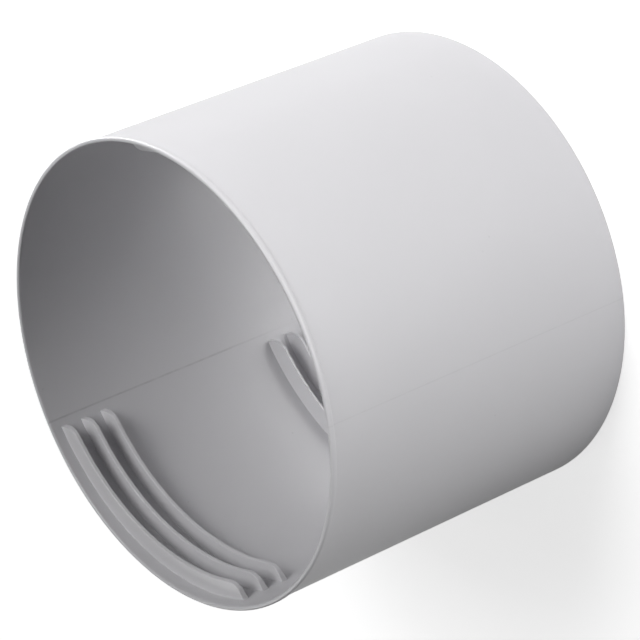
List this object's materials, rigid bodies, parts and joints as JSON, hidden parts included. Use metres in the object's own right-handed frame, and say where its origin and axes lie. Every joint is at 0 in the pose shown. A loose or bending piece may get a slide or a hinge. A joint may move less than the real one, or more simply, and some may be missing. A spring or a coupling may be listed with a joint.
{
  "type": "air conditioner hose adapter",
  "caption": "Round hose adapter for a portable air conditioner's exhaust hose: a thin moulded tube, open at both ends, with an interrupted internal thread inside each mouth.",
  "frame": {"origin": "centre of the bottom rim, on the tube's axis", "axes": "+Z along the tube's axis, towards the mouth that faces the viewer in the picture; +X towards the inner parting line"},
  "size_m": [0.154, 0.154, 0.1231],
  "materials": {
    "coupler": "satin moulded ABS, light grey"
  },
  "bodies": {
    "root": {"coupler": "coupler"}
  },
  "joints": []
}
